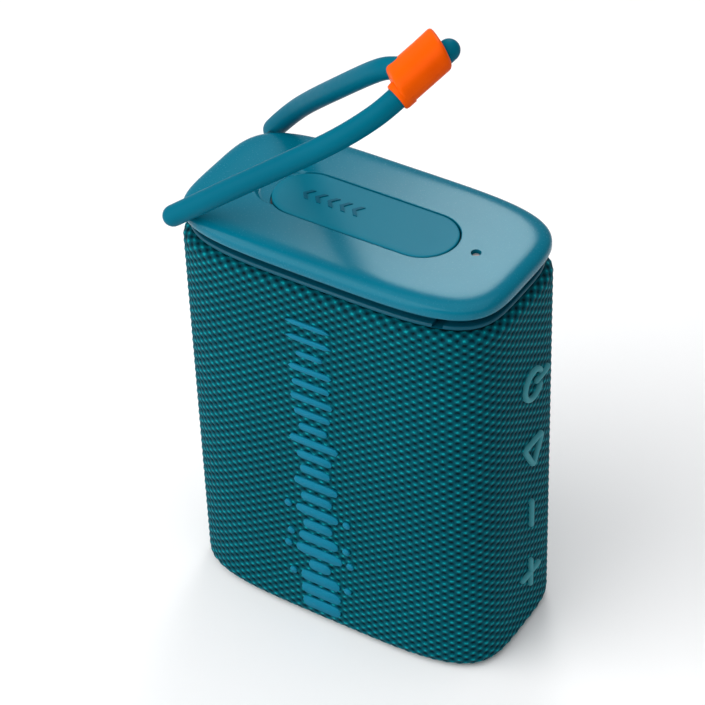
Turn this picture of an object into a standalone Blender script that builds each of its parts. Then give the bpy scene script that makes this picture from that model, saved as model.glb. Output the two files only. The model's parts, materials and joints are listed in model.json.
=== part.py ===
"""Portable bluetooth speaker: a fabric-wrapped box with a plastic cap, a port flap and a silicone carry loop.

Metres, +Z up. The origin is the middle of the face it stands on, +X is the end with the buttons and -Y the front.
"""

from math import copysign, cos, pi, radians, sin, sqrt

import bmesh
import bpy
from mathutils import Matrix, Vector

MM = 0.001

# Overall size
BODY_WIDTH = 80 * MM
BODY_DEPTH = 42.8 * MM
HEIGHT = 105 * MM
OUTLINE_POWER = 4.1
OUTLINE_POINTS = 44

# Sleeve and enclosure
GAP = 0.3 * MM
FABRIC = 1.4 * MM
WALL = 2 * MM
FABRIC_BOTTOM = 0.8 * MM
FABRIC_TOP = 97.4 * MM
FOOT_HEIGHT = 1.2 * MM
FOOT_INSET = 6.5 * MM
PLATE_BOTTOM = 1.5 * MM
PLATE_TOP = 4.5 * MM
HOUSING_TOP = 97 * MM
SPLIT_Y = -8 * MM
BASE_SCREW_X = 26 * MM
BASE_SCREW_Y = 9.5 * MM

# Collar, cap and what is under the flap
RIDGE_BOTTOM = 97.7 * MM
RIDGE_TOP = 98.8 * MM
RIDGE_INSET = 1.6 * MM
NECK_TOP = 101.3 * MM
NECK_INSET = 3.2 * MM
NECK_WALL = 2.2 * MM
STRAP_BAY_X = -26 * MM
STRAP_BAY_CORNER = 9 * MM
CAP_BOTTOM = 101.6 * MM
CAP_INSET = 0.6 * MM
CAP_SKIN = 1.6 * MM
CAP_EDGE = 1.9 * MM
CAP_SCREW_X = 30.2 * MM
CAP_SCREW_Y = 8.6 * MM
FLAP_CENTRE_X = 0.4 * MM
FLAP_HALF_LENGTH = 21.8 * MM
FLAP_HALF_WIDTH = 7.8 * MM
FLAP_THICK = 1.4 * MM
TRAY_FLOOR = 99.1 * MM
PIN_HOLE_X = 27.3 * MM
USB_X = 7 * MM
JACK_X = -7 * MM

# Carry loop
STRAP_RADIUS = 2.4 * MM
STRAP_AXIS_X = -35.7 * MM
STRAP_AXIS_Z = 102.5 * MM
STRAP_BAR_RADIUS = 0.9 * MM
STRAP_BAR_LENGTH = 39.4 * MM
KEEPER_CENTRE = Vector((11.4, 4.3, 143.4)) * MM
KEEPER_LENGTH = 12.8 * MM
KEEPER_SLANT = -0.26
KEEPER_WIDTH = 11.8 * MM
KEEPER_THICK = 7.4 * MM

# Buttons, on the +X end
BUTTON_Y = 2 * MM
BUTTON_HEIGHTS = {"power": 72.9 * MM, "play": 54.3 * MM, "volume_down": 35.7 * MM, "volume_up": 17.1 * MM}
BUTTON_PAD_RADIUS = 4.9 * MM
BUTTON_STEM_RADIUS = 2 * MM
BUTTON_TRAVEL = 0.5 * MM

# Drive unit, radiator, battery and board
DRIVER_Z = 36 * MM
DRIVER_RADIUS = 22 * MM
RADIATOR_RADIUS = 20.5 * MM
BATTERY_RADIUS = 9.2 * MM
BATTERY_LENGTH = 50 * MM
BATTERY_Y = 6.5 * MM
BATTERY_Z = 71.5 * MM
BOARD_BOTTOM = 87 * MM
BOARD_TOP = 88.2 * MM
LEAD_RADIUS = 0.6 * MM

TEAL = (0.012, 0.20, 0.27)
DARK_TEAL = (0.006, 0.085, 0.115)
ORANGE = (0.95, 0.14, 0.004)
BLACK = (0.012, 0.012, 0.014)
STEEL = (0.55, 0.56, 0.58)

FACING_FRONT = (radians(90), 0, 0)
FACING_RIGHT = (0, radians(90), 0)


def clear_scene():
    for old in list(bpy.data.objects):
        bpy.data.objects.remove(old)
    for old in list(bpy.data.collections):
        bpy.data.collections.remove(old)


def new_collection(name, hidden=False):
    collection = bpy.data.collections.new(name)
    collection.hide_render = hidden
    bpy.context.scene.collection.children.link(collection)
    return collection


def material(name, colour, roughness, metallic=0.0):
    made = bpy.data.materials.new(name)
    made.use_nodes = True
    shader = made.node_tree.nodes["Principled BSDF"]
    shader.inputs["Base Color"].default_value = (*colour, 1)
    shader.inputs["Roughness"].default_value = roughness
    shader.inputs["Metallic"].default_value = metallic
    made.diffuse_color = (*colour, 1)
    return made


# Outlines in a plane, as lists of (x, y)


def superellipse(half_width, half_depth, power=OUTLINE_POWER, count=OUTLINE_POINTS):
    points = []
    for step in range(count):
        angle = 2 * pi * step / count
        x, y = cos(angle), sin(angle)
        points.append(
            (
                half_width * copysign(abs(x) ** (2 / power), x),
                half_depth * copysign(abs(y) ** (2 / power), y),
            )
        )
    return points


def inset_outline(inset, power=OUTLINE_POWER):
    return superellipse(BODY_WIDTH / 2 - inset, BODY_DEPTH / 2 - inset, power)


def circle(radius, count=16, x=0.0, y=0.0):
    turns = [2 * pi * (step + 0.5) / count for step in range(count)]
    return [(x + radius * cos(turn), y + radius * sin(turn)) for turn in turns]


def stadium(half_length, half_width, x=0.0, y=0.0, steps=8):
    straight = half_length - half_width
    right = [-pi / 2 + pi * step / steps for step in range(steps + 1)]
    points = [(x + straight + half_width * cos(a), y + half_width * sin(a)) for a in right]
    points += [(x - straight - half_width * cos(a), y - half_width * sin(a)) for a in right]
    return points


def rectangle(width, depth, x=0.0, y=0.0):
    return [
        (x - width / 2, y - depth / 2),
        (x + width / 2, y - depth / 2),
        (x + width / 2, y + depth / 2),
        (x - width / 2, y + depth / 2),
    ]


def half_ring(outer_inset, inner_inset, cut_y, front):
    """The C-shaped outline of one half of the enclosure, on one side of the line y = cut_y."""

    def arc(inset):
        half_width, half_depth = BODY_WIDTH / 2 - inset, BODY_DEPTH / 2 - inset
        reach = half_width * (1 - (abs(cut_y) / half_depth) ** OUTLINE_POWER) ** (1 / OUTLINE_POWER)
        points = inset_outline(inset)
        first = OUTLINE_POINTS // 4 * (1 if front else 3)
        kept = [p for p in points[first:] + points[:first] if (p[1] < cut_y) == front]
        ends = [(-reach, cut_y), (reach, cut_y)]
        return [ends[not front], *kept, ends[front]]

    return arc(outer_inset) + arc(inner_inset)[::-1]


# Solids


def add_object(name, mesh, finish=None, place=(0, 0, 0), turn=(0, 0, 0)):
    obj = bpy.data.objects.new(name, mesh)
    obj.location = place
    obj.rotation_euler = turn
    if finish:
        mesh.materials.append(finish)
        speaker.objects.link(obj)
    else:
        obj.display_type = "WIRE"
        obj.hide_render = True
        helpers.objects.link(obj)
    return obj


def mesh_of_curve(curve, flat_faces=False):
    holder = bpy.data.objects.new("outline", curve)
    helpers.objects.link(holder)
    bpy.context.view_layer.update()
    mesh = bpy.data.meshes.new_from_object(holder.evaluated_get(bpy.context.evaluated_depsgraph_get()))
    bpy.data.objects.remove(holder)
    bpy.data.curves.remove(curve)
    work = bmesh.new()
    work.from_mesh(mesh)
    bmesh.ops.remove_doubles(work, verts=work.verts, dist=1e-7)
    if flat_faces:
        bmesh.ops.dissolve_limit(work, angle_limit=radians(0.5), verts=work.verts, edges=work.edges)
    bmesh.ops.recalc_face_normals(work, faces=work.faces)
    work.to_mesh(mesh)
    work.free()
    mesh.materials.clear()
    mesh.shade_smooth()
    mesh.set_sharp_from_angle(angle=radians(40))
    return mesh


def slab(name, loops, low, high, finish=None, place=(0, 0, 0), turn=(0, 0, 0), flat_faces=False):
    """A flat outline, with any holes, extruded from low to high along its own Z."""
    curve = bpy.data.curves.new(name, "CURVE")
    curve.dimensions = "2D"
    curve.fill_mode = "BOTH"
    curve.extrude = (high - low) / 2
    for loop in loops:
        spline = curve.splines.new("POLY")
        spline.points.add(len(loop) - 1)
        for point, (x, y) in zip(spline.points, loop):
            point.co = (x, y, 0, 1)
        spline.use_cyclic_u = True
    mesh = mesh_of_curve(curve, flat_faces)
    mesh.transform(Matrix.Translation((0, 0, (low + high) / 2)))
    return add_object(name, mesh, finish, place, turn)


def turned(name, profile, finish=None, place=(0, 0, 0), turn=(0, 0, 0), steps=28, closed=True):
    """A profile of (radius, height) points, down its outer side first, turned about the object's Z."""
    count = len(profile)
    edges = [(step, (step + 1) % count) for step in range(count if closed else count - 1)]
    mesh = bpy.data.meshes.new(name)
    mesh.from_pydata([(radius, 0, height) for radius, height in profile], edges, [])
    obj = add_object(name, mesh, finish, place, turn)
    screw = obj.modifiers.new("turn", "SCREW")
    screw.steps = screw.render_steps = steps
    screw.use_merge_vertices = True
    screw.merge_threshold = 1e-6
    screw.use_smooth_shade = True
    return obj


def tube(name, route, radii, finish=None):
    curve = bpy.data.curves.new(name, "CURVE")
    curve.dimensions = "3D"
    curve.bevel_depth = 1.0
    curve.bevel_resolution = 3
    curve.use_fill_caps = True
    spline = curve.splines.new("POLY")
    spline.points.add(len(route) - 1)
    for point, place, radius in zip(spline.points, route, radii):
        point.co = (*place, 1)
        point.radius = radius
    return add_object(name, mesh_of_curve(curve), finish)


def bar(name, radius, length, place, turn=(0, 0, 0), count=16):
    """A round cutter or helper, centred on place, along its own Z."""
    return slab(name, [circle(radius, count)], -length / 2, length / 2, place=place, turn=turn)


def combine(target, tool, operation):
    step = target.modifiers.new(f"{operation.lower()} {tool.name}", "BOOLEAN")
    step.operation = operation
    step.solver = "EXACT"
    step.object = tool


def cut(target, tool):
    combine(target, tool, "DIFFERENCE")


def join(target, tool):
    combine(target, tool, "UNION")


def at_corners(x, y):
    return [(side * x, end * y) for side in (-1, 1) for end in (-1, 1)]


def smooth_route(points, per_span):
    """A Catmull-Rom curve through the points, with per_span steps between neighbours."""
    ends = [points[0] * 2 - points[1], *points, points[-1] * 2 - points[-2]]
    route = []
    for index in range(1, len(ends) - 2):
        before, start, end, after = ends[index - 1 : index + 3]
        for step in range(per_span):
            t = step / per_span
            route.append(
                0.5
                * (
                    2 * start
                    + (end - before) * t
                    + (2 * before - 5 * start + 4 * end - after) * t**2
                    + (3 * start - before - 3 * end + after) * t**3
                )
            )
    return [*route, points[-1]]


def rounded_end(route, radius, steps=4):
    """Points and radii that close the tube's first end with a half sphere."""
    away = (route[0] - route[1]).normalized()
    turns = [pi / 2 * (1 - step / (steps + 0.4)) for step in range(1, steps + 1)]
    places = [route[0] + away * radius * sin(turn) for turn in turns]
    return places, [radius * cos(turn) for turn in turns]


# Base and enclosure


def base_foot():
    slab("base_foot", [inset_outline(FOOT_INSET)], 0, FOOT_HEIGHT, rubber)


def base_plate():
    plate = slab("base_plate", [inset_outline(FABRIC + GAP)], PLATE_BOTTOM, PLATE_TOP, dark_plastic)
    head, shank = 2.6 * MM, 1.4 * MM
    step = PLATE_BOTTOM + 1.6 * MM
    for number, (x, y) in enumerate(at_corners(BASE_SCREW_X, BASE_SCREW_Y), 1):
        below, above = PLATE_BOTTOM - 1 * MM, PLATE_TOP + 1 * MM
        profile = [(0, above), (shank, above), (shank, step), (head, step), (head, below), (0, below)]
        cut(plate, turned(f"plate_hole_{number}", profile, place=(x, y, 0), steps=12, closed=False))


def screw(name, x, y, head_bottom, shank_top, finish):
    head, shank, head_height = 2.2 * MM, 1 * MM, 1.2 * MM
    shoulder = head_bottom + head_height
    profile = [(0, shank_top), (shank, shank_top), (shank, shoulder)]
    profile += [(head, shoulder), (head, head_bottom), (0, head_bottom)]
    return turned(name, profile, finish, place=(x, y, 0), steps=10, closed=False)


def base_screws():
    for number, (x, y) in enumerate(at_corners(BASE_SCREW_X, BASE_SCREW_Y), 1):
        screw(f"base_screw_{number}", x, y, PLATE_BOTTOM + GAP / 3, 11 * MM, steel)


def screw_boss(name, x, y, low, high):
    """A post with a pilot hole, for a screw that comes up from below."""
    return slab(name, [circle(2.4 * MM, 12), circle(1.3 * MM, 10)], low, high, place=(x, y, 0))


def housing_half(name, front):
    edge = SPLIT_Y - GAP / 2 if front else SPLIT_Y + GAP / 2
    outer = FABRIC + GAP
    ring = half_ring(outer, outer + WALL, edge, front)
    half = slab(name, [ring], PLATE_TOP + GAP, HOUSING_TOP, dark_plastic)
    near, far = BASE_SCREW_Y - 3.2 * MM, 17.4 * MM
    low = PLATE_TOP + GAP
    for number, (x, y) in enumerate(at_corners(BASE_SCREW_X, BASE_SCREW_Y), 1):
        if (y < SPLIT_Y) == front:
            loops = [rectangle(6 * MM, far - near, x, copysign((near + far) / 2, y)), circle(1.3 * MM, 10, x, y)]
            join(half, slab(f"{name}_screw_rib_{number}", loops, low, low + 5 * MM))
    return half


def front_housing():
    half = housing_half("front_housing", front=True)
    hole = 20 * MM
    cut(half, bar("driver_opening", hole, 20 * MM, (0, -18 * MM, DRIVER_Z), FACING_FRONT, 28))


def rear_housing():
    half = housing_half("rear_housing", front=False)
    hole = 17.5 * MM
    cut(half, bar("radiator_opening", hole, 20 * MM, (0, 18 * MM, DRIVER_Z), FACING_FRONT, 28))
    for name, height in BUTTON_HEIGHTS.items():
        place = (BODY_WIDTH / 2, BUTTON_Y, height)
        cut(half, bar(f"{name}_stem_hole", BUTTON_STEM_RADIUS + 0.4 * MM, 12 * MM, place, FACING_RIGHT, 12))


def fabric_sleeve():
    loops = [inset_outline(0), inset_outline(FABRIC)]
    sleeve = slab("fabric_sleeve", loops, FABRIC_BOTTOM, FABRIC_TOP, fabric)
    for name, height in BUTTON_HEIGHTS.items():
        place = (BODY_WIDTH / 2, BUTTON_Y, height)
        cut(sleeve, bar(f"{name}_window", BUTTON_PAD_RADIUS + GAP, 8 * MM, place, FACING_RIGHT, 20))


# Collar, cap, flap and ports


def neck_outline(inset):
    """The neck stops short of the left end, to leave a bay for the strap's bar."""
    outline = inset_outline(inset)
    start = STRAP_BAY_X + (inset - NECK_INSET)
    return [(max(x, start), y) for x, y in outline if x > start - STRAP_BAY_CORNER]


def neck_collar():
    deck = inset_outline(RIDGE_INSET)
    port_hole = stadium(16 * MM, 6 * MM, FLAP_CENTRE_X)
    pipe_hole = circle(1.4 * MM, 10, PIN_HOLE_X)
    screw_holes = [circle(1.4 * MM, 10, x, y) for x, y in at_corners(CAP_SCREW_X, CAP_SCREW_Y)]
    collar = slab("neck_collar", [deck, port_hole, pipe_hole, *screw_holes], RIDGE_BOTTOM, RIDGE_TOP, plastic)
    neck = [neck_outline(NECK_INSET), neck_outline(NECK_INSET + NECK_WALL)]
    join(collar, slab("neck_wall", neck, RIDGE_TOP - 0.3 * MM, NECK_TOP))
    skirt = FABRIC + GAP + WALL + GAP
    loops = [inset_outline(skirt), inset_outline(skirt + 1.5 * MM)]
    join(collar, slab("neck_skirt", loops, RIDGE_BOTTOM - 4.5 * MM, RIDGE_BOTTOM + 0.3 * MM))
    slot = slab("microphone_slot", [rectangle(2.2 * MM, 8 * MM, 28.5 * MM, -18 * MM)], 99.4 * MM, 100.8 * MM)
    cut(collar, slot)


def top_cap():
    outline = superellipse(BODY_WIDTH / 2 - CAP_INSET, BODY_DEPTH / 2 - CAP_INSET, 4.2)
    cap = slab("top_cap", [outline], CAP_BOTTOM, HEIGHT, plastic, flat_faces=True)
    weights = cap.data.attributes.new("bevel_weight_edge", "FLOAT", "EDGE")
    for edge in cap.data.edges:
        heights = [cap.data.vertices[index].co.z for index in edge.vertices]
        weights.data[edge.index].value = float(min(heights) > HEIGHT - 0.01 * MM)
    rounding = cap.modifiers.new("top edge", "BEVEL")
    rounding.limit_method = "WEIGHT"
    rounding.width = CAP_EDGE
    rounding.segments = 3
    inner = superellipse(BODY_WIDTH / 2 - CAP_INSET - 2.3 * MM, BODY_DEPTH / 2 - CAP_INSET - 2.3 * MM, 4.2)
    cut(cap, slab("cap_hollow", [inner], CAP_BOTTOM - 1 * MM, HEIGHT - CAP_SKIN))
    opening = stadium(FLAP_HALF_LENGTH + GAP, FLAP_HALF_WIDTH + GAP, FLAP_CENTRE_X)
    cut(cap, slab("flap_opening", [opening], HEIGHT - 3 * MM, HEIGHT + 1 * MM))
    scoop_x = FLAP_CENTRE_X - FLAP_HALF_LENGTH + 3.6 * MM
    scoop = slab("finger_scoop", [stadium(8.2 * MM, 6.6 * MM, scoop_x)], HEIGHT - 1 * MM, HEIGHT + 1 * MM)
    cut(cap, scoop)
    cut(cap, bar("pin_hole", 1.15 * MM, 8 * MM, (PIN_HOLE_X, 0, HEIGHT), count=12))
    axis = (STRAP_AXIS_X, 0, STRAP_AXIS_Z)
    cut(cap, bar("strap_bore", STRAP_BAR_RADIUS + 0.35 * MM, 60 * MM, axis, FACING_FRONT, 12))
    for number, (x, y) in enumerate(at_corners(CAP_SCREW_X, CAP_SCREW_Y), 1):
        join(cap, screw_boss(f"cap_boss_{number}", x, y, RIDGE_TOP + GAP, HEIGHT - CAP_SKIN + 0.4 * MM))


def cap_screws():
    for number, (x, y) in enumerate(at_corners(CAP_SCREW_X, CAP_SCREW_Y), 1):
        screw(f"cap_screw_{number}", x, y, RIDGE_BOTTOM - 1.5 * MM, 102.6 * MM, steel)


def port_tray():
    rim = stadium(FLAP_HALF_LENGTH + 1.2 * MM, FLAP_HALF_WIDTH + 1.2 * MM, FLAP_CENTRE_X)
    well = stadium(FLAP_HALF_LENGTH - 0.6 * MM, FLAP_HALF_WIDTH - 0.6 * MM, FLAP_CENTRE_X)
    usb_hole = stadium(4.9 * MM, 2.1 * MM, USB_X, 0, 5)
    jack_hole = circle(3.5 * MM, 16, JACK_X)
    tray = slab("port_tray", [rim, usb_hole, jack_hole], TRAY_FLOOR, TRAY_FLOOR + 1.1 * MM, dark_plastic)
    join(tray, slab("tray_wall", [rim, well], TRAY_FLOOR + 0.9 * MM, HEIGHT - CAP_SKIN - GAP))


def port_flap():
    """Both pieces hang on an empty at the living hinge, at the flap's right end."""
    hinge = bpy.data.objects.new("flap_hinge", None)
    hinge.location = (FLAP_CENTRE_X + FLAP_HALF_LENGTH, 0, HEIGHT)
    speaker.objects.link(hinge)
    lid = [stadium(FLAP_HALF_LENGTH, FLAP_HALF_WIDTH, -FLAP_HALF_LENGTH)]
    flap = slab("port_flap", lid, -FLAP_THICK, 0, plastic)
    plug = [
        stadium(FLAP_HALF_LENGTH - 2 * MM, FLAP_HALF_WIDTH - 1.2 * MM, -FLAP_HALF_LENGTH),
        stadium(FLAP_HALF_LENGTH - 3.4 * MM, FLAP_HALF_WIDTH - 2.6 * MM, -FLAP_HALF_LENGTH),
    ]
    seal = slab("flap_seal", plug, -FLAP_THICK - 1.8 * MM, -FLAP_THICK - GAP, rubber)
    flap.parent = seal.parent = hinge


def usb_c_port():
    outer, inner = stadium(4.5 * MM, 1.65 * MM, 0, 0, 5), stadium(4.2 * MM, 1.35 * MM, 0, 0, 5)
    bottom = BOARD_TOP + GAP
    port = slab("usb_c_port", [outer, inner], bottom, 100.6 * MM, steel, place=(USB_X, 0, 0))
    join(port, slab("usb_back", [outer], bottom, bottom + 1 * MM, place=(USB_X, 0, 0)))
    tongue = [rectangle(6.6 * MM, 0.7 * MM)]
    join(port, slab("usb_tongue", tongue, bottom + 0.5 * MM, 100 * MM, place=(USB_X, 0, 0)))


def aux_jack():
    bottom = BOARD_TOP + GAP
    body = slab("aux_jack", [rectangle(6.4 * MM, 6.4 * MM)], bottom, 97 * MM, black, place=(JACK_X, 0, 0))
    join(body, slab("jack_nose", [circle(3 * MM)], 96.5 * MM, 100.6 * MM, place=(JACK_X, 0, 0)))
    cut(body, bar("jack_bore", 1.8 * MM, 22 * MM, (JACK_X, 0, 101 * MM), count=12))


# Carry loop


def keeper_frame():
    """The keeper's own directions: along the strap, across from strand to strand, and through its thickness."""
    along = Vector((0.4245, 0.7624, 0.4876)).normalized()
    across = Vector((0.7694, -0.5878, 0.2492))
    across = (across - along * across.dot(along)).normalized()
    return along, across, along.cross(across)


def from_keeper(ahead, aside, under):
    """A point given in mm along the keeper's own directions from its centre."""
    along, across, through = keeper_frame()
    return KEEPER_CENTRE + (along * ahead + across * aside + through * under) * MM


def strand_routes():
    front = [(-35.5, -20.3, 104.6), (-22.4, -18.4, 114.6), (-10.6, -15.2, 123), (0.3, -11.5, 130.8), (6.8, -7.4, 136)]
    front = [Vector(point) * MM for point in front]
    front += [from_keeper(-8, 2.75, 0.6), from_keeper(0, 2.3, 0.5), from_keeper(6.8, 1.8, 0.7)]
    back = [(-37.2, 21.4, 100.5), (-36.3, 20.6, 102.6), (-27.3, 18.1, 112.6), (-11.6, 10, 127.7), (2.2, 4.2, 139.9)]
    back = [Vector(point) * MM for point in back]
    back += [from_keeper(-2, -2.3, -1), from_keeper(3, -0.8, 0)]
    return smooth_route(front, 4), smooth_route(back, 4)


def strand(name, route, radius, finish=None, tip=False):
    """A strand with a rounded end at the pivot and, on the longer one, at its tip."""
    places, radii = rounded_end(route, radius)
    points, widths = places + route, radii + [radius] * len(route)
    if tip:
        places, radii = rounded_end(route[::-1], radius)
        points, widths = points + places[::-1], widths + radii[::-1]
    return tube(name, points, widths, finish)


def carry_loop():
    """The strap turns on a thin bar that is trapped under the cap's left end."""
    front, back = strand_routes()
    loop = strand("carry_loop", front, STRAP_RADIUS, silicone, tip=True)
    join(loop, strand("back_strand", back, STRAP_RADIUS))
    axis = (STRAP_AXIS_X, 0, STRAP_AXIS_Z)
    join(loop, bar("strap_bar", STRAP_BAR_RADIUS, STRAP_BAR_LENGTH, axis, FACING_FRONT, 10))
    move_origin(loop, Vector(axis))


def move_origin(obj, place):
    """Puts the object's origin on its joint's axis, with the shape where it was."""
    shift = Matrix.Translation(-place)
    obj.data.transform(shift)
    obj.location = place
    for step in obj.modifiers:
        step.object.parent = obj
        step.object.matrix_parent_inverse = shift


def loop_keeper():
    """A soft-cornered sleeve whose ends slant a little across the strands."""
    along, across, through = keeper_frame()
    outline = superellipse(KEEPER_WIDTH / 2, KEEPER_THICK / 2, 2.6, 32)
    keeper = slab("loop_keeper", [outline], -KEEPER_LENGTH / 2, KEEPER_LENGTH / 2, keeper_orange, flat_faces=True)
    slant = Matrix.Identity(4)
    slant[2][0], slant[2][1] = KEEPER_SLANT * 0.5, KEEPER_SLANT * 0.866
    keeper.data.transform(slant)
    basis = Matrix((across, through, along)).transposed().to_4x4()
    keeper.matrix_world = Matrix.Translation(KEEPER_CENTRE) @ basis
    rounding = keeper.modifiers.new("edges", "BEVEL")
    rounding.width = 0.8 * MM
    rounding.segments = 2
    front, back = strand_routes()
    cut(keeper, strand("front_bore", [*front, from_keeper(13, 1.6, 0.7)], STRAP_RADIUS + GAP))
    cut(keeper, strand("back_bore", back, STRAP_RADIUS + GAP))


# Buttons. A key's own X points down and its Z points out.

ICONS = {
    "power": [[circle(3.6 * MM, 20), circle(2.2 * MM, 16)]],
    "play": [[[(-3.4 * MM, 3.4 * MM), (-3.4 * MM, -3.4 * MM), (3.4 * MM, 0)]]],
    "volume_down": [[rectangle(7.4 * MM, 1.8 * MM)]],
    "volume_up": [[rectangle(7.4 * MM, 1.8 * MM)], [rectangle(1.8 * MM, 7.4 * MM)]],
}


def buttons():
    pad_front = BODY_WIDTH / 2 - 0.2 * MM
    pad_back = pad_front - 0.85 * MM
    for name, height in BUTTON_HEIGHTS.items():
        place = (pad_back, BUTTON_Y, height)
        thick = pad_front - pad_back
        pad = [circle(BUTTON_PAD_RADIUS, 20)]
        button = slab(f"button_{name}", pad, 0, thick, rubber, place, FACING_RIGHT)
        for number, loops in enumerate(ICONS[name]):
            low, high = thick - (0.2 + 0.1 * number) * MM, (1.8 - 0.1 * number) * MM
            join(button, slab(f"{name}_icon_{number}", loops, low, high, None, place, FACING_RIGHT))
        stem = [circle(BUTTON_STEM_RADIUS, 10)]
        join(button, slab(f"{name}_stem", stem, -3.5 * MM, 0.3 * MM, None, place, FACING_RIGHT))


def button_switches():
    for name, height in BUTTON_HEIGHTS.items():
        place = (31.7 * MM, BUTTON_Y, height)
        body = [rectangle(4.5 * MM, 4.5 * MM)]
        switch = slab(f"switch_{name}", body, 0, 2.2 * MM, black, place, FACING_RIGHT)
        plunger = [circle(1.2 * MM, 10)]
        join(switch, slab(f"{name}_plunger", plunger, 2 * MM, 3 * MM, None, place, FACING_RIGHT))


def button_board():
    board = [rectangle(70 * MM, 9 * MM, -45 * MM, BUTTON_Y)]
    slab("button_board", board, 30.2 * MM, 31.4 * MM, circuit_board, turn=FACING_RIGHT)


# Sound, power and electronics. The turned pieces' own +Z is the front of the drive unit.


def driver_piece(name, profile, finish, **options):
    profile = [(radius * MM, height * MM) for radius, height in profile]
    return turned(name, profile, finish, (0, 0, DRIVER_Z), FACING_FRONT, **options)


def driver_grille():
    slots = [rectangle(3 * MM, 2 * sqrt(16.5**2 - row**2) * MM, row * MM) for row in (-12, -6, 0, 6, 12)]
    loops = [circle(19.6 * MM, 28), *slots]
    slab("driver_grille", loops, 18 * MM, 19.2 * MM, dark_plastic, (0, 0, DRIVER_Z), FACING_FRONT)


def drive_unit():
    driver_piece("driver_gasket", [(22, 16.6), (22, 15.7), (20, 15.7), (20, 16.6)], foam)
    basket = [(22, 15.4), (22, 14.2), (19.4, 14.2), (12.4, 6.6), (12.4, 5.4), (7.2, 5.4)]
    basket += [(7.2, 6.4), (11.6, 6.4), (18.6, 14), (18.6, 15.4)]
    driver_piece("driver_basket", basket, steel)
    driver_piece("driver_surround", [(18.3, 15.3), (18.3, 14.6), (15.8, 14.6), (15.8, 15.3), (17.05, 16.3)], foam)
    driver_piece("driver_cone", [(15.4, 14.8), (15.4, 14.3), (6.9, 9.4), (6.9, 9.9)], paper)
    cap = [(0, 12.6), (3.4, 12), (5.6, 10.8), (6.5, 9.6), (6.5, 9.1), (0, 9.1)]
    driver_piece("driver_dust_cap", cap, paper, closed=False)
    driver_piece("driver_spider", [(11.2, 7.4), (11.2, 6.9), (7.2, 6.9), (7.2, 7.4)], foam)
    driver_piece("voice_coil", [(6.6, 8.8), (6.6, 2.4), (6, 2.4), (6, 8.8)], copper)
    driver_piece("driver_top_plate", [(11.5, 5.1), (11.5, 4), (7, 4), (7, 5.1)], steel)
    driver_piece("driver_magnet", [(12.5, 3.7), (12.5, -1.6), (8.4, -1.6), (8.4, 3.7)], black)
    yoke = [(0, 5), (5.5, 5), (5.5, -1.9), (12, -1.9), (12, -3.3), (0, -3.3)]
    driver_piece("driver_yoke", yoke, steel, closed=False)


def passive_radiator():
    driver_piece("radiator_frame", [(20.5, -15.2), (20.5, -16.6), (17, -16.6), (17, -15.2)], dark_plastic)
    surround = [(16.7, -15.3), (16.7, -16.2), (14.75, -17.2), (12.9, -16.2), (12.9, -15.3)]
    driver_piece("radiator_surround", surround, foam)
    driver_piece("radiator_plate", [(0, -15), (12.5, -15), (12.5, -16.8), (0, -16.8)], steel, closed=False)


def battery():
    place = (-BATTERY_LENGTH / 2 - 2 * MM, BATTERY_Y, BATTERY_Z)
    cell = slab("battery_cell", [circle(BATTERY_RADIUS, 24)], 0, BATTERY_LENGTH, cell_wrap, place, FACING_RIGHT)
    nub = [circle(3 * MM, 10)]
    join(cell, slab("cell_nub", nub, BATTERY_LENGTH - 1 * MM, BATTERY_LENGTH + 0.8 * MM, None, place, FACING_RIGHT))


def battery_cradle():
    """A saddle under the cell: its own X points down, because it is extruded along the cell."""
    turns = [-radians(80) + radians(160) * step / 10 for step in range(11)]
    inner, outer = BATTERY_RADIUS + GAP, BATTERY_RADIUS + 1.5 * MM
    arc = [(inner * cos(turn), inner * sin(turn)) for turn in turns]
    arc += [(outer * cos(turn), outer * sin(turn)) for turn in reversed(turns)]
    slab("battery_cradle", [arc], -20 * MM, 16 * MM, dark_plastic, (0, BATTERY_Y, BATTERY_Z), FACING_RIGHT)


def box_part(name, width, depth, x, y, low, high, finish):
    return slab(name, [rectangle(width, depth, x, y)], low, high, finish)


def electronics():
    top, bottom = BOARD_TOP + GAP, BOARD_BOTTOM - GAP
    slab("main_board", [stadium(30 * MM, 12 * MM)], BOARD_BOTTOM, BOARD_TOP, circuit_board)
    box_part("radio_module", 12 * MM, 10 * MM, -20 * MM, 0, top, top + 2 * MM, steel)
    box_part("amplifier_chip", 5 * MM, 5 * MM, 3 * MM, 6 * MM, bottom - 1 * MM, bottom, black)
    box_part("microphone", 2.8 * MM, 2 * MM, 24 * MM, -5 * MM, top, top + 1 * MM, steel)
    box_part("status_led", 1.8 * MM, 1.8 * MM, PIN_HOLE_X, 0, top, top + 0.8 * MM, clear_plastic)
    slab("light_pipe", [circle(0.85 * MM, 10)], top + 1.1 * MM, 104.2 * MM, clear_plastic, (PIN_HOLE_X, 0, 0))


def internal_leads():
    routes = {
        "battery_lead": ((25.6, 6.5, 72), (27, 7, 78), (26, 8, 83.6), (20, 9, 86)),
        "speaker_lead": ((13.6, 2, 36), (17, -4, 44), (19, -9, 58), (18, -10, 74), (15, -8, 86.2)),
    }
    for name, points in routes.items():
        route = smooth_route([Vector(point) * MM for point in points], 3)
        tube(name, route, [LEAD_RADIUS] * len(route), lead_jacket)


clear_scene()
speaker = new_collection("bluetooth_speaker")
helpers = new_collection("cutters", hidden=True)

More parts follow.
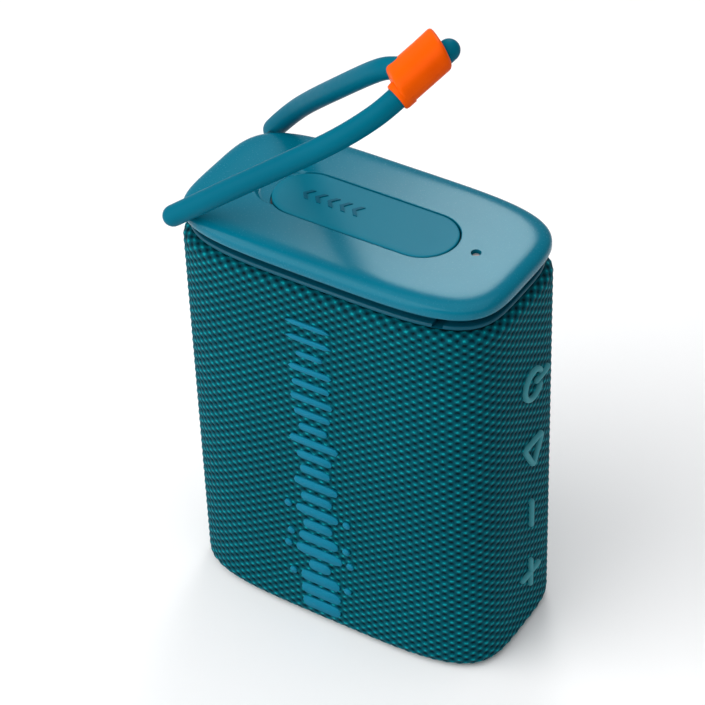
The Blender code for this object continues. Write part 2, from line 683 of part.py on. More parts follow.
plastic = material("teal plastic", TEAL, 0.42)
dark_plastic = material("black plastic", BLACK, 0.5)
fabric = material("woven fabric", DARK_TEAL, 0.85)
silicone = material("silicone", TEAL, 0.55)
keeper_orange = material("orange plastic", ORANGE, 0.4)
rubber = material("rubber", (0.03, 0.10, 0.12), 0.8)
foam = material("foam", (0.03, 0.03, 0.03), 0.95)
paper = material("pulp", (0.05, 0.05, 0.05), 0.9)
black = material("black component", BLACK, 0.45)
steel = material("steel", STEEL, 0.35, 1.0)
copper = material("copper", (0.75, 0.33, 0.16), 0.35, 1.0)
circuit_board = material("circuit board", (0.01, 0.09, 0.035), 0.45)
cell_wrap = material("cell wrap", (0.02, 0.08, 0.30), 0.4)
clear_plastic = material("clear plastic", (0.85, 0.9, 0.9), 0.15)
lead_jacket = material("lead jacket", (0.35, 0.02, 0.02), 0.5)

for make in (base_foot, base_plate, base_screws, front_housing, rear_housing, fabric_sleeve):
    make()
for make in (neck_collar, top_cap, cap_screws, port_tray, port_flap, usb_c_port, aux_jack):
    make()
for make in (carry_loop, loop_keeper, buttons, button_switches, button_board):
    make()
for make in (driver_grille, drive_unit, passive_radiator, battery, battery_cradle, electronics, internal_leads):
    make()
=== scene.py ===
import json
from math import cos, pi, radians, sin

import bpy
import numpy as np
from mathutils import Matrix, Quaternion, Vector


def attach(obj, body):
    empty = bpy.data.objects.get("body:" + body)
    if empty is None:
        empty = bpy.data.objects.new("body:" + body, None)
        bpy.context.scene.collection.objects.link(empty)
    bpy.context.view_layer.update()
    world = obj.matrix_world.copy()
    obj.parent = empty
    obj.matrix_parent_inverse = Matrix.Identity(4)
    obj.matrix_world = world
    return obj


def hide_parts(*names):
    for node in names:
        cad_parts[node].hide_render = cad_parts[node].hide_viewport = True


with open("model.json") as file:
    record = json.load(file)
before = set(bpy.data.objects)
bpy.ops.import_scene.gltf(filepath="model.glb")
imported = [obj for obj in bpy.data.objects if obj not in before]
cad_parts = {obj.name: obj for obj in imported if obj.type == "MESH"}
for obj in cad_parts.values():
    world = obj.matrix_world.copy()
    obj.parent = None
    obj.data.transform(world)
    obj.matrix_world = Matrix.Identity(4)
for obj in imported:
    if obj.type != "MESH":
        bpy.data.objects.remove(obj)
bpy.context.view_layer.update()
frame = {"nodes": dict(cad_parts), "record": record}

MM = 0.001
scene = bpy.context.scene
nodes = frame["nodes"]


# Camera and studio. A long lens looks down on the top and the front, with the key end turned to it.
# The speaker stands on a plain pale floor, under broad soft lights, and one small softbox close behind
# it that the right part of the lid mirrors.

camera_lens = bpy.data.cameras.new("camera")
camera_lens.sensor_width = 36
camera_lens.lens = 138.4
camera_lens.shift_x = 0.0097
camera_lens.shift_y = -0.0094
camera_lens.clip_end = 20
camera = bpy.data.objects.new("camera", camera_lens)
camera_place = Vector((252.1, -388.6, 448.8)) * MM
camera_ahead = Vector((-0.4281, 0.6439, -0.6341)).normalized()
camera_right = Vector((0.8465, 0.5315, -0.0318))
camera_right = (camera_right - camera_ahead * camera_right.dot(camera_ahead)).normalized()
camera_up = camera_right.cross(camera_ahead)
camera_turn = Matrix((camera_right, camera_up, -camera_ahead)).transposed().to_4x4()
camera.matrix_world = Matrix.Translation(camera_place) @ camera_turn
scene.collection.objects.link(camera)
scene.camera = camera
scene.view_settings.view_transform = "Standard"


def new_finish(name):
    """An empty material, its tree and its surface shader."""
    finish = bpy.data.materials.new(name)
    finish.use_nodes = True
    return finish, finish.node_tree, finish.node_tree.nodes["Principled BSDF"]


def add_node(tree, kind, inputs=(), **settings):
    """A node with its settings, and its inputs filled from numbers or from other nodes' outputs."""
    node = tree.nodes.new(kind)
    for key, value in settings.items():
        setattr(node, key, value)
    for key, value in dict(inputs).items():
        if isinstance(value, bpy.types.NodeSocket):
            tree.links.new(value, node.inputs[key])
        else:
            node.inputs[key].default_value = value
    return node


def ramp(tree, factor, stops):
    """A colour ramp over (position, colour) stops."""
    node = add_node(tree, "ShaderNodeValToRGB", {0: factor})
    while len(node.color_ramp.elements) < len(stops):
        node.color_ramp.elements.new(0.5)
    for element, (position, colour) in zip(node.color_ramp.elements, stops):
        element.position = position
        element.color = (*colour, 1)
    return node.outputs["Color"]


def span(tree, factor, low, high, start=0.3, end=0.7):
    """The factor from start to end, stretched to run from low to high."""
    inputs = {"Value": factor, "From Min": start, "From Max": end, "To Min": low, "To Max": high}
    return add_node(tree, "ShaderNodeMapRange", inputs).outputs["Result"]


def moulded(name, dark, light, roughness, grain=900, relief=0.02, patch=40, metallic=0.0, **sockets):
    """A moulded or pressed surface: a slow drift of colour, a fine grain in its gloss and its relief."""
    finish, tree, shader = new_finish(name)
    place = add_node(tree, "ShaderNodeTexCoord").outputs["Object"]
    drift = add_node(tree, "ShaderNodeTexNoise", {"Vector": place, "Scale": patch, "Detail": 3})
    fine = add_node(tree, "ShaderNodeTexNoise", {"Vector": place, "Scale": grain, "Detail": 4})
    colour = ramp(tree, drift.outputs["Fac"], [(0.3, dark), (0.7, light)])
    tree.links.new(colour, shader.inputs["Base Color"])
    gloss = span(tree, fine.outputs["Fac"], roughness - 0.05, roughness + 0.05)
    tree.links.new(gloss, shader.inputs["Roughness"])
    inputs = {"Height": fine.outputs["Fac"], "Strength": 0.5, "Distance": relief * MM}
    tree.links.new(add_node(tree, "ShaderNodeBump", inputs).outputs["Normal"], shader.inputs["Normal"])
    shader.inputs["Metallic"].default_value = metallic
    for socket, value in sockets.items():
        shader.inputs[socket.replace("_", " ")].default_value = value
    return finish


floor_mesh = bpy.data.meshes.new("floor")
FLOOR_HALF = 6.0
floor_corners = [(-FLOOR_HALF, -FLOOR_HALF, 0), (FLOOR_HALF, -FLOOR_HALF, 0)]
floor_corners += [(FLOOR_HALF, FLOOR_HALF, 0), (-FLOOR_HALF, FLOOR_HALF, 0)]
floor_mesh.from_pydata(floor_corners, [], [(0, 1, 2, 3)])
floor_finish = moulded("pale floor", (0.92, 0.92, 0.92), (0.94, 0.94, 0.94), 0.9, 60, 0.01, 2)
floor_mesh.materials.append(floor_finish)
floor = bpy.data.objects.new("floor", floor_mesh)
scene.collection.objects.link(floor)

studio = bpy.data.worlds.new("studio")
studio.use_nodes = True
studio.node_tree.nodes["Background"].inputs["Color"].default_value = (0.95, 0.97, 1, 1)
studio.node_tree.nodes["Background"].inputs["Strength"].default_value = 0.3
scene.world = studio


def soft_light(name, place, aim, size, power, roll=0.0):
    """A square softbox turned to shine on aim and rolled about that line; the camera doesn't see it."""
    box = bpy.data.lights.new(name, "AREA")
    box.shape = "RECTANGLE"
    box.size = box.size_y = size
    box.energy = power
    lamp = bpy.data.objects.new(name, box)
    lamp.location = place
    turn = (Vector(aim) - Vector(place)).to_track_quat("-Z", "Y") @ Quaternion((0, 0, 1), roll)
    lamp.rotation_euler = turn.to_euler()
    lamp.visible_camera = False
    scene.collection.objects.link(lamp)


soft_light("lid softbox", (-0.086, 0.208, 0.309), (0, 0, 0.105), 0.1, 0.3, radians(45))
soft_light("front softbox", (-0.75, -1.0, 0.8), (0, 0, 0.05), 1.6, 22)
soft_light("overhead softbox", (0.3, -0.3, 1.5), (0, 0, 0), 2.2, 16)


# Outer shape. Every ring of the speaker is the same rounded oblong, drawn in by some inset,
# and the shells are lofted through such rings from one edge to the other.

BODY_HALF_WIDTH = 40.0
BODY_HALF_DEPTH = 21.4
BODY_POWER = 4.1


def oblong(half_width, half_depth, power, count):
    """Points in mm on a rounded oblong, one on each of count even rays from its centre."""
    turns = 2 * pi * np.arange(count) / count
    x, y = np.cos(turns), np.sin(turns)
    reach = (np.abs(x / half_width) ** power + np.abs(y / half_depth) ** power) ** (-1 / power)
    return np.stack([x * reach, y * reach], axis=1)


def capsule(half_length, half_width, count, centre_x=0.0):
    """Points in mm where even rays from (centre_x, 0) meet a straight-sided shape with round ends."""
    turns = 2 * pi * np.arange(count) / count
    x, y = np.cos(turns), np.sin(turns)
    straight = half_length - half_width
    reach = half_width / np.maximum(np.abs(y), 1e-9)
    for side in (-1, 1):
        along = x * side * straight
        end = along + np.sqrt(np.maximum(along**2 - straight**2 + half_width**2, 0))
        reach = np.where(reach * x * side > straight, end, reach)
    return np.stack([centre_x + x * reach, y * reach], axis=1)


def ring_at(outline, height):
    return np.column_stack([outline, np.full(len(outline), height)])


def add_piece(name, points, faces, finish, body, smooth=True):
    """A mesh from points in mm, riding on a body."""
    mesh = bpy.data.meshes.new(name)
    mesh.from_pydata([tuple(p) for p in np.asarray(points, float) * MM], [], faces)
    mesh.validate()
    if smooth:
        mesh.shade_smooth()
    mesh.materials.append(finish)
    piece = bpy.data.objects.new(name, mesh)
    scene.collection.objects.link(piece)
    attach(piece, body)
    return piece


def ring_faces(rings, count, around=False):
    """Quads between neighbouring rings of count points, and from the last to the first if around."""
    faces = []
    for ring in range(rings if around else rings - 1):
        low, high = ring * count, (ring + 1) % rings * count
        for step in range(count):
            after = (step + 1) % count
            faces.append((low + step, low + after, high + after, high + step))
    return faces


def loft(name, rings, finish, body, around=False):
    """A closed skin through rings of points: round to the first ring, or with both ends filled."""
    count = len(rings[0])
    faces = ring_faces(len(rings), count, around)
    points = np.concatenate(rings)
    if not around:
        last = (len(rings) - 1) * count
        points = np.vstack([points, rings[0].mean(axis=0), rings[-1].mean(axis=0)])
        low, high = len(points) - 2, len(points) - 1
        for step in range(count):
            after = (step + 1) % count
            faces.append((low, after, step))
            faces.append((high, last + step, last + after))
    return add_piece(name, points, faces, finish, body)


# Woven sleeve. A coarse polyester cloth of raised bead-like loops in half-drop columns, stretched
# over the enclosure and tucked in under the collar above and the base plate below.

COLUMNS = 136
ROWS = 46
COLUMN_STEPS = 4
ROW_STEPS = 6
BEAD_RISE = 0.34
CLOTH_INSET = 0.34
CLOTH_THICK = 0.8
CLOTH_LOW = 0.6
CLOTH_HIGH = 97.3
HEM_RADIUS, HEM_TURN = 2.4, 1.3
SHOULDER_RADIUS, SHOULDER_TURN = 2.2, 1.45
BEAD_FULLNESS = 0.8
OUTLINE_STEPS = 7200


def even_outline(inset, count):
    """Points and outward directions at even steps round the body, drawn in by inset."""
    fine = oblong(BODY_HALF_WIDTH, BODY_HALF_DEPTH, BODY_POWER, OUTLINE_STEPS)
    step = np.roll(fine, -1, axis=0) - fine
    length = np.concatenate([[0], np.cumsum(np.linalg.norm(step, axis=1))])
    wanted = length[-1] * np.arange(count) / count
    closed = np.vstack([fine, fine[:1]])
    points = np.column_stack([np.interp(wanted, length, closed[:, axis]) for axis in (0, 1)])
    along = np.roll(points, -1, axis=0) - np.roll(points, 1, axis=0)
    outward = np.column_stack([along[:, 1], -along[:, 0]])
    outward /= np.linalg.norm(outward, axis=1)[:, None]
    return points - outward * inset, outward, length[-1]


def sleeve_profile(count):
    """(inward, height, lean) at even steps up the cloth, from the turned hem to over the shoulder."""
    low, high = CLOTH_LOW + HEM_RADIUS, CLOTH_HIGH - SHOULDER_RADIUS
    line = [(HEM_RADIUS * (1 - cos(a)), low + HEM_RADIUS * sin(a), a) for a in np.linspace(-HEM_TURN, 0, 12)]
    for a in np.linspace(0, SHOULDER_TURN, 16):
        line.append((SHOULDER_RADIUS * (1 - cos(a)), high + SHOULDER_RADIUS * sin(a), a))
    line = np.array(line)
    length = np.concatenate([[0], np.cumsum(np.linalg.norm(np.diff(line[:, :2], axis=0), axis=1))])
    wanted = np.linspace(0, length[-1], count)
    return np.column_stack([np.interp(wanted, length, line[:, axis]) for axis in range(3)]), length[-1]


def bead_height(column, row):
    """How high the cloth stands: 1 on each bead, 0 in the dark holes above and below it."""
    wave = np.cos(pi * column) * np.cos(2 * pi * row)
    return (0.5 + 0.5 * wave) ** BEAD_FULLNESS


def cloth_finish():
    """Dyed yarn with the fleck of the thread, dark with painted shade in the holes and bright with a painted
    highlight on the crown of each bead.
    """
    finish, tree, shader = new_finish("woven cloth")
    uv = add_node(tree, "ShaderNodeUVMap", uv_map="weave").outputs["UV"]
    split = add_node(tree, "ShaderNodeSeparateXYZ", {0: uv})

    def maths(operation, first, second=0.0):
        node = add_node(tree, "ShaderNodeMath", {0: first, 1: second}, operation=operation)
        return node.outputs[0]

    across = maths("COSINE", maths("MULTIPLY", split.outputs["X"], pi))
    upward = maths("COSINE", maths("MULTIPLY", split.outputs["Y"], 2 * pi))
    wave = maths("MULTIPLY", across, upward)
    place = add_node(tree, "ShaderNodeTexCoord").outputs["Object"]
    thread = add_node(tree, "ShaderNodeTexNoise", {"Vector": place, "Scale": 2400, "Detail": 2})
    drift = add_node(tree, "ShaderNodeTexNoise", {"Vector": place, "Scale": 30, "Detail": 2})
    # The bead wave paints shade into the holes and a highlight onto each bead's crown; the thread fleck and
    # the slow drift are the yarn's own tone.
    painted_shade_and_fleck = maths("MULTIPLY", wave, 0.5)
    painted_shade_and_fleck = maths("ADD", painted_shade_and_fleck, maths("MULTIPLY", thread.outputs["Fac"], 0.5))
    painted_shade_and_fleck = maths("ADD", painted_shade_and_fleck, maths("ADD", maths("MULTIPLY", drift.outputs["Fac"], 0.12), 0.19))
    stops = [(0.0, (0.0, 0.008, 0.013)), (0.25, (0.0, 0.034, 0.05))]
    stops += [(0.55, (0.0, 0.066, 0.09)), (0.82, (0.0, 0.105, 0.135)), (1.0, (0.002, 0.26, 0.3))]
    tree.links.new(ramp(tree, painted_shade_and_fleck, stops), shader.inputs["Base Color"])
    relief = maths("ADD", maths("MULTIPLY", wave, 0.5), maths("MULTIPLY", thread.outputs["Fac"], 0.5))
    bump = add_node(tree, "ShaderNodeBump", {"Height": relief, "Strength": 0.6, "Distance": 0.2 * MM})
    tree.links.new(bump.outputs["Normal"], shader.inputs["Normal"])
    tree.links.new(span(tree, thread.outputs["Fac"], 0.5, 0.65), shader.inputs["Roughness"])
    shader.inputs["Sheen Weight"].default_value = 0.04
    shader.inputs["Sheen Roughness"].default_value = 0.4
    shader.inputs["Sheen Tint"].default_value = (0.05, 0.8, 1, 1)
    shader.inputs["Specular IOR Level"].default_value = 0.03
    return finish


around, up_steps = COLUMNS * COLUMN_STEPS, ROWS * ROW_STEPS + 1
base, outward, girth = even_outline(CLOTH_INSET, around)
profile, sleeve_length = sleeve_profile(up_steps)
columns = np.arange(around) / COLUMN_STEPS
sleeve_rings = []
for step, (inward, height, lean) in enumerate(profile):
    stand = BEAD_RISE * bead_height(columns, step / ROW_STEPS)
    # The beads flatten out towards both cut edges.
    stand *= min(1, (up_steps - 1 - step) / 6, step / 3)
    flat = base + outward * (stand * cos(lean) - inward)[:, None]
    sleeve_rings.append(np.column_stack([flat, height + stand * sin(lean)]))
# The back of the cloth lies on the enclosure, and turns in behind the shoulder and the hem.
wall, tuck = (base - outward * inward for inward in (CLOTH_THICK, CLOTH_THICK + HEM_RADIUS))
under_edge, over_hem = profile[-1][1] - CLOTH_THICK, CLOTH_LOW + CLOTH_THICK
sleeve_rings += [ring_at(tuck, under_edge), ring_at(wall, under_edge - HEM_RADIUS)]
sleeve_rings += [ring_at(wall, over_hem + HEM_RADIUS), ring_at(tuck, over_hem)]
sleeve = loft("woven_sleeve", sleeve_rings, cloth_finish(), "speaker", around=True)
weave_map = sleeve.data.uv_layers.new(name="weave")
corner_points = np.empty(len(sleeve.data.loops), np.int32)
sleeve.data.loops.foreach_get("vertex_index", corner_points)
corner_columns, corner_rows = corner_points % around, corner_points // around
weave_uv = np.column_stack([corner_columns / COLUMN_STEPS, corner_rows / ROW_STEPS])
face_columns = weave_uv[:, 0].reshape(-1, 4)
# The faces that close the round end on the last column and not on the first again.
face_columns[(face_columns.max(axis=1) > COLUMNS / 2)[:, None] & (face_columns == 0)] = COLUMNS
weave_uv[:, 0] = face_columns.reshape(-1)
weave_map.data.foreach_set("uv", weave_uv.astype(np.float32).reshape(-1))
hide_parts("fabric_sleeve")


# Collar. One moulding of the same teal plastic: a thin rounded ridge that traps the cloth's edge,
# a deck inside it, and a lower, narrower neck that leaves a dark groove under the cap.

RING_POINTS = 288
RIDGE_LOW, RIDGE_HIGH, RIDGE_INSET, RIDGE_ROUND = 97.72, 98.75, 1.95, 0.35
NECK_INSET, NECK_HIGH, NECK_INNER_INSET = 3.2, 101.3, 5.4
NECK_SOFTEN = 0.2
STRAP_BAY_X, STRAP_BAY_WALL = -26.0, 2.2
MIC_SLOT_LEFT, MIC_SLOT_RIGHT, MIC_SLOT_FRONT, MIC_SLOT_BACK = 27.35, 29.65, -18.9, -13.9
MIC_SLOT_LOW, MIC_SLOT_HIGH = 98.0, 100.9
teal_plastic = moulded(
    "teal plastic", (0.0, 0.13, 0.2), (0.0, 0.145, 0.22), 0.24, 2200, 0.008, Specular_IOR_Level=0.22
)
teal_shader = teal_plastic.node_tree.nodes["Principled BSDF"]
teal_shader.inputs["Specular Tint"].default_value = (0.6, 0.95, 1, 1)
# The collar's teal is darker than the cap's: painted shade for the groove under the cap, laid over the whole
# collar.
collar_painted_shade_finish = moulded(
    "collar teal with painted shade", (0.0, 0.07, 0.11), (0.0, 0.08, 0.125), 0.4, 1500, 0.012, Specular_IOR_Level=0.2
)


def body_ring(inset, height, left=-100.0):
    """A ring of the body's shape, cut straight at left where the loop's bay is."""
    outline = oblong(BODY_HALF_WIDTH - inset, BODY_HALF_DEPTH - inset, BODY_POWER, RING_POINTS)
    outline[:, 0] = np.maximum(outline[:, 0], left)
    return ring_at(outline, height)


def carve(piece, cutter):
    """Cuts the cutter's shape out of the piece for good."""
    cutter.hide_render = True
    step = piece.modifiers.new("cut", "BOOLEAN")
    step.solver = "EXACT"
    step.object = cutter
    bpy.context.view_layer.update()
    shaped = piece.evaluated_get(bpy.context.evaluated_depsgraph_get())
    mesh = bpy.data.meshes.new_from_object(shaped)
    piece.modifiers.clear()
    mesh.shade_smooth()
    mesh.set_sharp_from_angle(angle=radians(35))
    piece.data = mesh
    bpy.data.objects.remove(cutter)


def cutter_from(rings):
    """A closed solid through the rings, for carve."""
    count = len(rings[0])
    mesh = bpy.data.meshes.new("cutter")
    faces = ring_faces(len(rings), count)
    faces.append(tuple(range(count))[::-1])
    faces.append(tuple(range((len(rings) - 1) * count, len(rings) * count)))
    mesh.from_pydata([tuple(p) for p in np.concatenate(rings) * MM], [], faces)
    cutter = bpy.data.objects.new("cutter", mesh)
    scene.collection.objects.link(cutter)
    return cutter


collar_rings = [body_ring(NECK_INNER_INSET + 0.2, RIDGE_LOW), body_ring(RIDGE_INSET, RIDGE_LOW)]
ridge_middle, ridge_half = (RIDGE_LOW + RIDGE_HIGH) / 2, (RIDGE_HIGH - RIDGE_LOW) / 2
for turn in np.linspace(-pi / 2, pi / 2, 9):
    height = ridge_middle + ridge_half * sin(turn)
    collar_rings.append(body_ring(RIDGE_INSET - RIDGE_ROUND * cos(turn), height))
collar_rings.append(body_ring(2.5, RIDGE_HIGH))
for height in (RIDGE_HIGH + 0.05, RIDGE_HIGH + NECK_SOFTEN, NECK_HIGH - NECK_SOFTEN):
    collar_rings.append(body_ring(NECK_INSET, height, STRAP_BAY_X))
collar_rings.append(body_ring(NECK_INSET + NECK_SOFTEN, NECK_HIGH, STRAP_BAY_X + NECK_SOFTEN))
for height in (NECK_HIGH, RIDGE_HIGH):
    collar_rings.append(body_ring(NECK_INNER_INSET, height, STRAP_BAY_X + STRAP_BAY_WALL))
collar = loft("collar_ring", collar_rings, collar_painted_shade_finish, "speaker", around=True)
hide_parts("neck_collar")
mic_slot = [(MIC_SLOT_LEFT, MIC_SLOT_FRONT), (MIC_SLOT_RIGHT, MIC_SLOT_FRONT)]
mic_slot += [(MIC_SLOT_RIGHT, MIC_SLOT_BACK), (MIC_SLOT_LEFT, MIC_SLOT_BACK)]
mic_slot = np.array(mic_slot)
carve(collar, cutter_from([ring_at(mic_slot, MIC_SLOT_LOW), ring_at(mic_slot, MIC_SLOT_HIGH)]))


# Cap. A thin moulded lid with a broad rounded edge and a fine satin grain. It has a long opening for
# the flap, a shallow scoop at the opening's left end for a fingertip, and a pin hole for the light.

CAP_HALF_WIDTH, CAP_HALF_DEPTH, CAP_POWER = 39.5, 21.15, 4.2
CAP_LOW, CAP_HIGH = 101.6, 105.0
FLAP_X = 0.0
FLAP_HALF_LENGTH, FLAP_HALF_WIDTH = 22.2, 7.8
OPENING_GAP = 0.3
SCOOP_X, SCOOP_HALF_LENGTH, SCOOP_HALF_WIDTH = -18.3, 8.6, 6.9
SCOOP_DEPTH, SCOOP_SLOPE = 1.4, 0.9
EDGE_WIDE, EDGE_DROP, EDGE_FULLNESS = 5.0, 2.5, 0.74
PIN_HOLE_X, PIN_HOLE_RADIUS = 27.3, 1.15
CAP_POINTS = 360


def smooth_step(value):
    value = np.clip(value, 0, 1)
    return value * value * (3 - 2 * value)


def scoop_drop(points):
    """How far the fingertip scoop dips at each point of the lid's top."""
    straight = SCOOP_HALF_LENGTH - SCOOP_HALF_WIDTH
    x = np.maximum(np.abs(points[:, 0] - SCOOP_X) - straight, 0)
    edge = SCOOP_HALF_WIDTH - np.hypot(x, points[:, 1])
    return SCOOP_DEPTH * smooth_step(edge / SCOOP_SLOPE)


opening = capsule(FLAP_HALF_LENGTH + OPENING_GAP, FLAP_HALF_WIDTH + OPENING_GAP, CAP_POINTS, FLAP_X)
cap_centre = np.array([FLAP_X, 0])


def cap_outline(inset):
    """The lid's outline, on the same rays as the opening's: each ray's reach is closed in on."""
    turns = 2 * pi * np.arange(CAP_POINTS) / CAP_POINTS
    way = np.column_stack([np.cos(turns), np.sin(turns)])
    reach = np.full(CAP_POINTS, 30.0)
    wide, deep = CAP_HALF_WIDTH - inset, CAP_HALF_DEPTH - inset
    for _ in range(30):
        x, y = (cap_centre + way * reach[:, None]).T
        size = (np.abs(x / wide) ** CAP_POWER + np.abs(y / deep) ** CAP_POWER) ** (1 / CAP_POWER)
        reach = reach * (1 + 0.9 * (1 / size - 1))
    return cap_centre + way * reach[:, None]


def lid_ring(outline, height):
    """A ring of the lid's top, dipped where the scoop is."""
    ring = ring_at(outline, height)
    ring[:, 2] -= scoop_drop(ring)
    return ring


rim = cap_outline(EDGE_WIDE)
outward_way = opening - cap_centre
outward_way /= np.linalg.norm(outward_way, axis=1)[:, None]
lid_rings = [ring_at(opening, CAP_HIGH - 1.6), lid_ring(opening, CAP_HIGH - 0.3)]
for reach, drop in ((0.06, 0.1), (0.2, 0)):
    lid_rings.append(lid_ring(opening + outward_way * reach, CAP_HIGH - drop))
room = np.linalg.norm(rim - opening, axis=1)
for reach in (0.45, 0.7, 1.0, 1.3, 1.6, 1.9, 2.2, 2.5, 2.8, 3.1, 3.4, 3.8, 4.3, 5.0, 6.0):
    share = np.minimum(reach, room * (0.5 + reach / 14))
    lid_rings.append(lid_ring(opening + outward_way * share[:, None], CAP_HIGH))
lid_rings.append(lid_ring(rim - (rim - opening) * 0.02, CAP_HIGH))
for turn in np.linspace(0.03, pi / 2, 16):
    out, down = sin(turn) ** EDGE_FULLNESS, max(cos(turn), 0) ** EDGE_FULLNESS
    edge_outline = cap_outline(EDGE_WIDE * (1 - out))
    lid_rings.append(ring_at(edge_outline, CAP_HIGH - EDGE_DROP * (1 - down)))
for inset, rise in ((0, 0.35), (0.1, 0.1), (0.35, 0), (2.3, 0)):
    lid_rings.append(ring_at(cap_outline(inset), CAP_LOW + rise))
lid_rings.append(ring_at(cap_outline(2.4), CAP_HIGH - 1.7))
lid = loft("cap_lid", lid_rings, teal_plastic, "speaker", around=True)
pin_hole = capsule(PIN_HOLE_RADIUS, PIN_HOLE_RADIUS - 0.001, 32, PIN_HOLE_X)
carve(lid, cutter_from([ring_at(pin_hole, CAP_HIGH - 6), ring_at(pin_hole, CAP_HIGH + 1)]))
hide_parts("top_cap")


# Port flap. A soft-touch cover over the two ports, flush with the cap and hinged at its right end.
# A row of low raised chevrons near its free end points to the scoop, where a fingertip lifts it.

FLAP_THICK, FLAP_EDGE, FLAP_POINTS = 1.4, 0.35, 240
CHEVRONS = 5
CHEVRON_PITCH = 3.1
CHEVRON_FIRST_X = -15.6
flap_finish = moulded(
    "soft-touch teal", (0.0, 0.15, 0.225), (0.001, 0.165, 0.24), 0.4, 2200, 0.008, Specular_IOR_Level=0.09
)


def flap_ring(inset, height):
    outline = capsule(FLAP_HALF_LENGTH - inset, FLAP_HALF_WIDTH - inset, FLAP_POINTS, FLAP_X)
    return ring_at(outline, height)


flap_rings = [flap_ring(0, CAP_HIGH - FLAP_THICK)]
for turn in np.linspace(0, pi / 2, 6):
    flap_rings.append(flap_ring(FLAP_EDGE * (1 - cos(turn)), CAP_HIGH - FLAP_EDGE * (1 - sin(turn))))
flap_rings += [flap_ring(inset, CAP_HIGH) for inset in (1.5, 4, 6.5)]
flap = loft("port_flap_cover", flap_rings, flap_finish, "flap")
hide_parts("port_flap")

mark_finish = moulded(
    "raised mark teal", (0.0, 0.09, 0.145), (0.001, 0.1, 0.16), 0.5, 2200, 0.008, Specular_IOR_Level=0.1
)
chevron = np.array([(0.0, 0.0), (1.3, -1.7), (2.3, -1.7), (1.0, 0.0), (2.3, 1.7), (1.3, 1.7)])
for number in range(CHEVRONS):
    outline = chevron + (CHEVRON_FIRST_X + number * CHEVRON_PITCH, 0)
    middle = outline.mean(axis=0)
    rings = [ring_at(outline, CAP_HIGH - 0.15), ring_at(outline, CAP_HIGH + 0.14)]
    rings.append(ring_at(middle + (outline - middle) * 0.93, CAP_HIGH + 0.2))
    faces = ring_faces(3, 6) + [(5, 4, 3, 0), (3, 2, 1, 0), (12, 13, 14, 15), (15, 16, 17, 12)]
    points = np.concatenate(rings)
    add_piece(f"lift_chevron_{number + 1}", points, faces, mark_finish, "flap", smooth=False)


# Printed mark. A thick, flat, lighter teal print on the front of the cloth. It is a plain level
# meter: round-ended bars across the cloth, bold at the bottom and fine at the top, with a few dots.

MARK_X = -1.5
BARS = 21
BAR_LOW, BAR_HIGH = 5.5, 88.5
SHORTEST_HALF_BAR, BAR_SWING = 2.2, 4.2
BOLD_HALF_WIDTH, BAR_TAPER = 1.6, 1.0
DOTTED_BARS, DOT_RADIUS, DOT_GAP = (2, 4, 5, 7), 0.95, 2.1
print_finish = moulded(
    "lighter teal print", (0.0, 0.15, 0.24), (0.001, 0.165, 0.265), 0.62, 1800, 0.01, Specular_IOR_Level=0.1
)


def front_depth(x):
    """The body's front, as y in mm at each x."""
    return -BODY_HALF_DEPTH * (1 - (np.abs(x) / BODY_HALF_WIDTH) ** BODY_POWER) ** (1 / BODY_POWER)


def printed_shape(name, outline):
    """A flat print on the front of the cloth, from an outline of (x, z) in mm."""
    middle = outline.mean(axis=0)
    rings = []
    for size, proud in ((1, -0.3), (1, 0.18), (0.985, 0.24)):
        flat = middle + (outline - middle) * size
        rings.append(np.column_stack([flat[:, 0], front_depth(flat[:, 0]) - proud, flat[:, 1]]))
    return loft(name, rings, print_finish, "speaker")


for number in range(BARS):
    share = number / (BARS - 1)
    height = BAR_LOW + (BAR_HIGH - BAR_LOW) * share
    swing = abs(sin(1.9 * number + 0.6)) * 0.6 + abs(sin(0.83 * number + 1.1)) * 0.4
    half_length = SHORTEST_HALF_BAR + BAR_SWING * swing
    half_width = BOLD_HALF_WIDTH - BAR_TAPER * share
    outline = capsule(half_length, half_width, 40) + (MARK_X, height)
    printed_shape(f"print_bar_{number + 1}", outline)
    if number in DOTTED_BARS:
        for side, word in ((-1, "left"), (1, "right")):
            dot_x = MARK_X + side * (half_length + DOT_GAP)
            dot = capsule(DOT_RADIUS, DOT_RADIUS - 0.001, 20) + (dot_x, height)
            printed_shape(f"print_dot_{number}_{word}", dot)


# Keys. Four rubber keys lie under the cloth on the right end, and their raised symbols stand
# through it: a power ring, a play triangle, a bar to turn down and a cross to turn up.

KEY_Y = 2.3
POWER_Z, PLAY_Z, VOLUME_DOWN_Z, VOLUME_UP_Z = 72.9, 54.3, 35.7, 17.1
STROKE_RADIUS, STROKE_SIDES = 0.68, 16
STROKE_PROUD, STROKE_SUNK = 0.75, 0.8
key_finish = moulded(
    "key rubber", (0.045, 0.235, 0.275), (0.055, 0.26, 0.3), 0.6, 2400, 0.01, Specular_IOR_Level=0.1
)


def end_depth(y):
    """The body's right end, as x in mm at y."""
    return BODY_HALF_WIDTH * (1 - (abs(y) / BODY_HALF_DEPTH) ** BODY_POWER) ** (1 / BODY_POWER)


